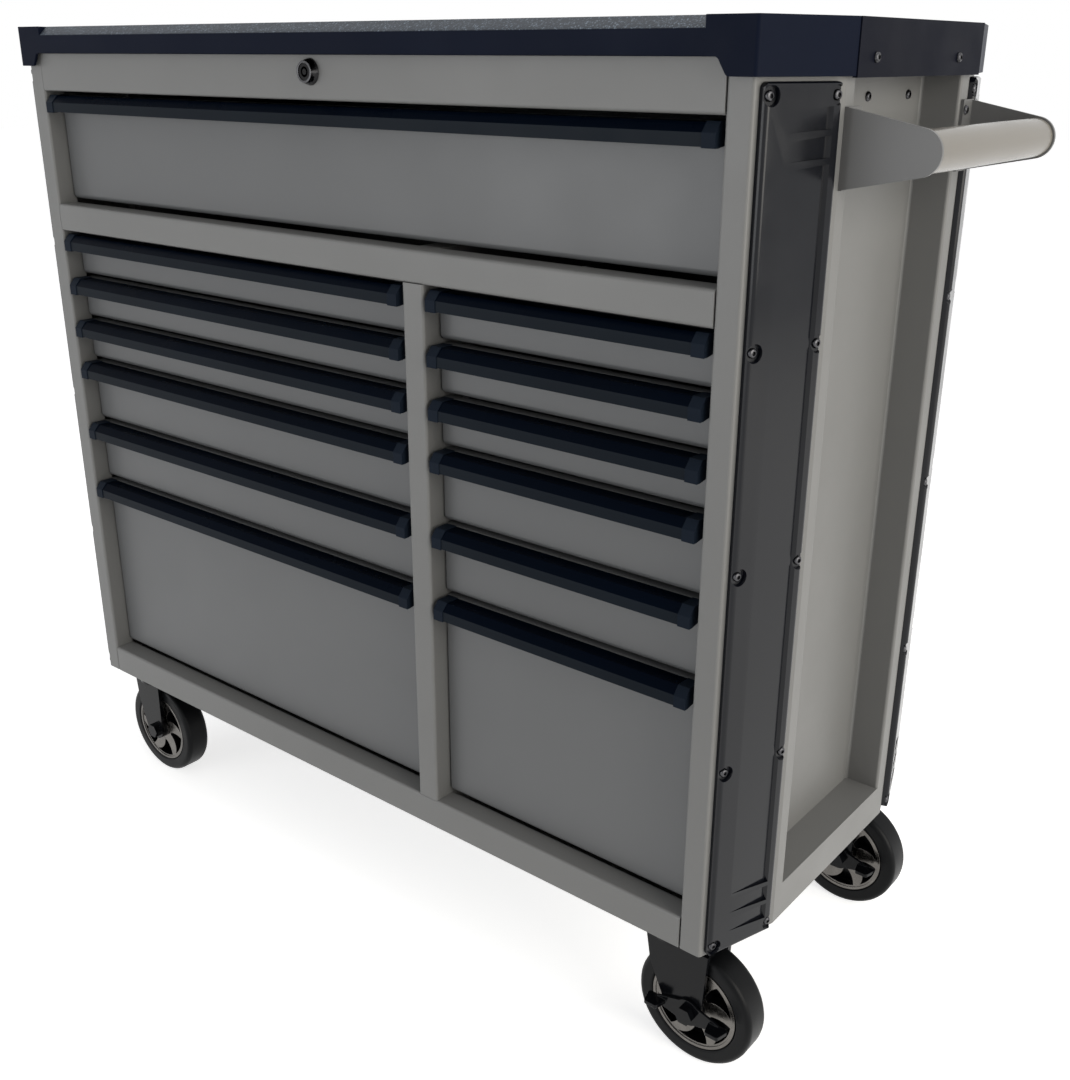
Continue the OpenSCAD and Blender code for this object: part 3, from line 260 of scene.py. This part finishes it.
# Material, rounding of the edges in metres, steps of the rounding, nodes
FINISHES = [
    ("cabinet", 0.0006, 2, BODY_SHEETS),
    ("bracket", 0.0008, 2, ["handle_brackets"]),
    ("handle", 0.0005, 2, ["handle_tube"]),
    ("surround", 0.0015, 3, ["top_surround"]),
    ("cap", 0.0018, 3, ["top_corner_caps"]),
    ("trim", 0.0018, 3, ["top_end_trims"]),
    ("guard", 0.0007, 2, ["corner_guards"]),
    ("worktop", 0.001, 2, ["worktop_mat"]),
    ("black_screw", 0.0002, 1, ["fasteners"]),
    ("lock_ring", 0.0005, 2, ["lock_bezel"]),
    ("black_steel", 0.0006, 2, CASTER_STEEL),
]
# Material of the nodes whose edges stay sharp
UNROUNDED = {"slide_channels": "zinc", "lock_bar": "zinc", "lock_cylinder": "black_steel"}
# Rounding of the edges of the hubs, trays and pulls, in metres
HUB_ROUND = 0.0005
TRAY_ROUND = 0.0005
PULL_ROUND = 0.0006

# Radius of the hub's boss and length of a pull's end cap, in metres
HUB_BOSS = 0.0145
PULL_CAP = 0.0125
# A face looks along an axis when its normal has more than this share of it
FACING = 0.9

# Points nearer than this are welded, faces that meet at less than this are merged, and edges
# sharper than this are rounded
WELD_DISTANCE = 0.00002
FLAT_ANGLE = math.radians(0.6)
SHARP_ANGLE = math.radians(35.0)


def dress(node, *finishes, pick=None):
    """Gives a CAD node its materials; pick(polygon) is the number, from 0, of the one a face takes."""
    mesh = nodes[node].data
    mesh.materials.clear()
    for finish in finishes:
        mesh.materials.append(mats[finish])
    if pick:
        for p in mesh.polygons:
            p.material_index = pick(p)


def soften(node, width, steps=2):
    """Welds the imported facets, rounds the sharp edges by width and shades them smooth."""
    piece = nodes[node]
    weld = piece.modifiers.new("weld", "WELD")
    weld.merge_threshold = WELD_DISTANCE
    flat = piece.modifiers.new("flat", "DECIMATE")
    flat.decimate_type = "DISSOLVE"
    flat.angle_limit = FLAT_ANGLE
    flat.delimit = {"MATERIAL"}
    if width > 0:
        edge = piece.modifiers.new("edge", "BEVEL")
        edge.width = width
        edge.segments = steps
        edge.limit_method = "ANGLE"
        edge.angle_limit = SHARP_ANGLE
        edge.use_clamp_overlap = True
    for p in piece.data.polygons:
        p.use_smooth = True
    shade = piece.modifiers.new("shade", "WEIGHTED_NORMAL")
    shade.keep_sharp = False
    shade.weight = 100


def hub_part(p, lo, hi):
    """Material of a hub's face: 1 on its turned spokes and rim, 0 on the boss and the rest."""
    middle = (lo + hi) / 2
    outside_boss = math.hypot(p.center.x - middle.x, p.center.z - middle.z) > HUB_BOSS
    return 1 if outside_boss and abs(p.normal.y) > FACING else 0


def pull_part(p, lo, hi):
    """Material of a pull's face: 1 on its end caps, 2 on its upright front lip, whose lighter colour is a
    painted reflection of the pale floor, 0 on the rest.
    """
    if not lo.x + PULL_CAP < p.center.x < hi.x - PULL_CAP:
        return 1
    return 2 if p.normal.y < -FACING else 0


def make_nodes():
    """Finishes the CAD's nodes: the listed ones, then the wheels, the trays and the pulls."""
    for finish, width, steps, names in FINISHES:
        for name in names:
            dress(name, finish)
            soften(name, width, steps)
    for name, finish in UNROUNDED.items():
        dress(name, finish)
    for wheel in WHEELS:
        tyre, hub = "tyre_" + wheel, "hub_" + wheel
        dress(tyre, "tyre")
        soften(tyre, 0)
        dress(hub, "hub", "hub_face", pick=lambda p, ends=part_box(hub): hub_part(p, *ends))
        soften(hub, HUB_ROUND)
    for name in nodes:
        if name.startswith("tray_"):
            dress(name, "drawer")
            soften(name, TRAY_ROUND)
        if name.startswith("pull_"):
            # Faces that look to the front take the lighter lip colour, a painted reflection of the floor
            dress(name, "pull", "pull_cap", "pull_lip_painted_reflection",
                  pick=lambda p, ends=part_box(name): pull_part(p, *ends))
            soften(name, PULL_ROUND)


# ------------------------------------------------------------------ closed webs of the wheels

# Half the web's thickness, and its dish as shares of the hub's radius with heights in metres
WEB_HALF = 0.0016
WEB_DISH = [(0.36, 0.0), (0.5, 0.0008), (0.66, -0.0006), (0.8, 0.0008), (0.93, 0.0)]


def revolved(name, centre, profile, steps=96):
    """Mesh turned round the Y axis through centre; profile is a closed loop of (radius, y)."""
    mesh = bpy.data.meshes.new(name)
    bm = bmesh.new()
    rings = []
    for k in range(steps):
        turn = 2 * math.pi * k / steps
        rings.append([
            bm.verts.new((centre.x + r * math.cos(turn), centre.y + y, centre.z + r * math.sin(turn)))
            for r, y in profile
        ])
    count = len(profile)
    for k in range(steps):
        here, there = rings[k], rings[(k + 1) % steps]
        for i in range(count):
            j = (i + 1) % count
            bm.faces.new((here[i], there[i], there[j], here[j]))
    bmesh.ops.recalc_face_normals(bm, faces=bm.faces)
    for f in bm.faces:
        f.smooth = True
    bm.to_mesh(mesh)
    bm.free()
    piece = bpy.data.objects.new(name, mesh)
    bpy.context.scene.collection.objects.link(piece)
    return piece


def make_hub_webs():
    """Dished black web that closes the pockets between the spokes of each wheel."""
    for wheel in WHEELS:
        lo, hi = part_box("hub_" + wheel)
        radius = (hi.x - lo.x) / 2
        front = [(radius * share, y - WEB_HALF) for share, y in WEB_DISH]
        back = [(radius * share, y + WEB_HALF) for share, y in reversed(WEB_DISH)]
        web = revolved("hub_web_" + wheel, (lo + hi) / 2, front + back)
        web.data.materials.append(mats["hub"])
        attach(web, "wheel_" + wheel)


# ------------------------------------------------------------------ floor, backdrop and lamps

WHITE = (1, 1, 1, 1)
FLOOR_SIZE = 30
FLOOR_GREY = (0.86, 0.86, 0.86, 1)
# What the floor gives out to rays that meet it directly, and the room's light on the object
FLOOR_GLOW = 0.68
ROOM_LIGHT = 0.36


def seen_directly(tree):
    """1 on rays that should meet the white backdrop: camera, glossy and transmission rays."""
    path = tree.nodes.new("ShaderNodeLightPath")
    value = path.outputs["Is Camera Ray"]
    for kind in ("Is Glossy Ray", "Is Transmission Ray"):
        most = tree.nodes.new("ShaderNodeMath")
        most.operation = "MAXIMUM"
        tree.links.new(value, most.inputs[0])
        tree.links.new(path.outputs[kind], most.inputs[1])
        value = most.outputs[0]
    return value


def direct_or_not(tree, direct, other, target):
    """Shows one shader to rays that are seen directly and another to the rest."""
    mix = tree.nodes.new("ShaderNodeMixShader")
    tree.links.new(seen_directly(tree), mix.inputs[0])
    tree.links.new(other.outputs[0], mix.inputs[1])
    tree.links.new(direct.outputs[0], mix.inputs[2])
    tree.links.new(mix.outputs[0], target.inputs["Surface"])


def make_floor():
    """Pale matt floor that takes shadows and is nearly as bright as the backdrop."""
    bpy.ops.mesh.primitive_plane_add(size=FLOOR_SIZE, location=(0, 0, 0))
    floor = bpy.context.object
    floor.name = "floor"
    material = bpy.data.materials.new("floor_white")
    material.use_nodes = True
    tree = material.node_tree
    matt = tree.nodes["Principled BSDF"]
    matt.inputs["Base Color"].default_value = FLOOR_GREY
    matt.inputs["Roughness"].default_value = 0.8
    matt.inputs["Specular IOR Level"].default_value = 0.1
    glow = tree.nodes.new("ShaderNodeEmission")
    glow.inputs["Color"].default_value = WHITE
    glow.inputs["Strength"].default_value = FLOOR_GLOW
    bright = tree.nodes.new("ShaderNodeAddShader")
    tree.links.new(matt.outputs[0], bright.inputs[0])
    tree.links.new(glow.outputs[0], bright.inputs[1])
    direct_or_not(tree, bright, matt, tree.nodes["Material Output"])
    floor.data.materials.append(material)


def make_room():
    """White backdrop for rays that meet it directly, and a dimmer, even light on the object."""
    world = bpy.data.worlds.new("studio")
    bpy.context.scene.world = world
    world.use_nodes = True
    tree = world.node_tree
    room = tree.nodes["Background"]
    room.inputs["Color"].default_value = WHITE
    room.inputs["Strength"].default_value = ROOM_LIGHT
    backdrop = tree.nodes.new("ShaderNodeBackground")
    backdrop.inputs["Color"].default_value = WHITE
    backdrop.inputs["Strength"].default_value = 1.0
    direct_or_not(tree, backdrop, room, tree.nodes["World Output"])


def lamp(name, place, target, size, power, color=(1, 1, 1)):
    """Rectangular lamp of size (width, height) in metres and power in watts, aimed at target."""
    data = bpy.data.lights.new(name, "AREA")
    data.shape = "RECTANGLE"
    data.size, data.size_y = size
    data.energy = power
    data.color = color
    light = bpy.data.objects.new(name, data)
    bpy.context.scene.collection.objects.link(light)
    light.location = place
    light.rotation_euler = (Vector(target) - Vector(place)).to_track_quat("-Z", "Y").to_euler()


def make_lights():
    """Warm lamp at the right side, a weaker fill from the front and a soft one from above."""
    lamp("key_side", (3.4, -0.2, 1.4), (0.2, 0, 0.5), (2.6, 2.2), 84, (1.0, 0.96, 0.88))
    lamp("front_fill", (-1.3, -3.3, 0.75), (0, 0, 0.2), (2.6, 1.3), 34, (0.96, 0.98, 1.0))
    lamp("top", (0.2, 0.2, 3.2), (0, 0, 0.6), (2.6, 2.0), 24)


make_camera()
make_nodes()
make_hub_webs()
make_floor()
make_room()
make_lights()
scene = bpy.context.scene
scene.view_settings.view_transform = "Standard"
